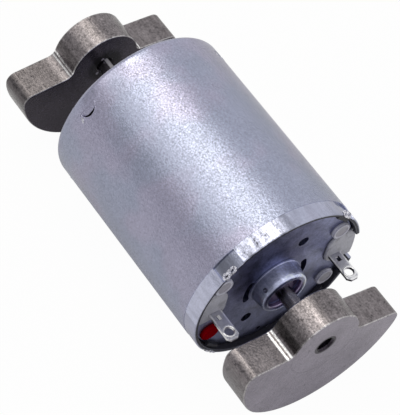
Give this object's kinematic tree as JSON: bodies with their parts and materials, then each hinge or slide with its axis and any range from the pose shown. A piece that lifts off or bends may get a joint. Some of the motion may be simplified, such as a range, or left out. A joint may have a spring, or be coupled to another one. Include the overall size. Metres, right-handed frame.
{
  "type": "vibration motor",
  "caption": "Round double-shaft brushed DC motor with an eccentric half-disc weight on each shaft end, flat terminal tags and a staked end plate.",
  "frame": {"origin": "middle of the can's barrel on the shaft axis", "axes": "+X along the shaft out through the end plate, +Y through the negative terminal, +Z away from the side that the weights hang to"},
  "size_m": [0.0603, 0.0276, 0.0277],
  "materials": {
    "plated_can": "satin zinc-plated steel",
    "plate_steel": "smooth blue-grey plated steel",
    "holder_plastic": "grey moulding",
    "red_paint": "dark red paint",
    "sintered_bronze": "oil-filled sintered metal",
    "shaft_steel": "ground steel",
    "silicon_steel": "stacked laminations",
    "insulator_plastic": "black moulding",
    "washer_plastic": "low-friction plastic",
    "sintered_iron": "granular sintered iron",
    "tinned_brass": "bright tinned brass",
    "spring_copper": "rolled spring copper",
    "carbon": "pressed carbon",
    "ferrite": "ground ferrite",
    "spring_steel": "spring steel",
    "enamelled_copper": "enamelled wire",
    "segment_copper": "turned copper"
  },
  "bodies": {
    "stator": {"motor_can": "plated_can", "end_plate": "plate_steel", "brush_holder": "holder_plastic", "polarity_mark": "red_paint", "bearing_front": "sintered_bronze", "bearing_rear": "sintered_bronze", "terminal_negative": "tinned_brass", "terminal_positive": "tinned_brass", "brush_arm_negative": "spring_copper", "brush_arm_positive": "spring_copper", "brush_negative": "carbon", "brush_positive": "carbon", "magnet_upper": "ferrite", "magnet_lower": "ferrite", "magnet_clip_right": "spring_steel", "magnet_clip_left": "spring_steel"},
    "rotor": {"shaft": "shaft_steel", "lamination_stack": "silicon_steel", "insulator_front": "insulator_plastic", "insulator_rear": "insulator_plastic", "commutator_core": "insulator_plastic", "commutator_ring": "insulator_plastic", "washer_front": "washer_plastic", "washer_rear": "washer_plastic", "weight_front": "sintered_iron", "weight_rear": "sintered_iron", "coil_1": "enamelled_copper", "coil_2": "enamelled_copper", "coil_3": "enamelled_copper", "segment_1": "segment_copper", "segment_2": "segment_copper", "segment_3": "segment_copper"}
  },
  "joints": [
    {"name": "rotor_spin", "type": "hinge", "parent": "stator", "child": "rotor", "pos_m": [0, 0, 0], "axis": [1, 0, 0], "continuous": true}
  ]
}
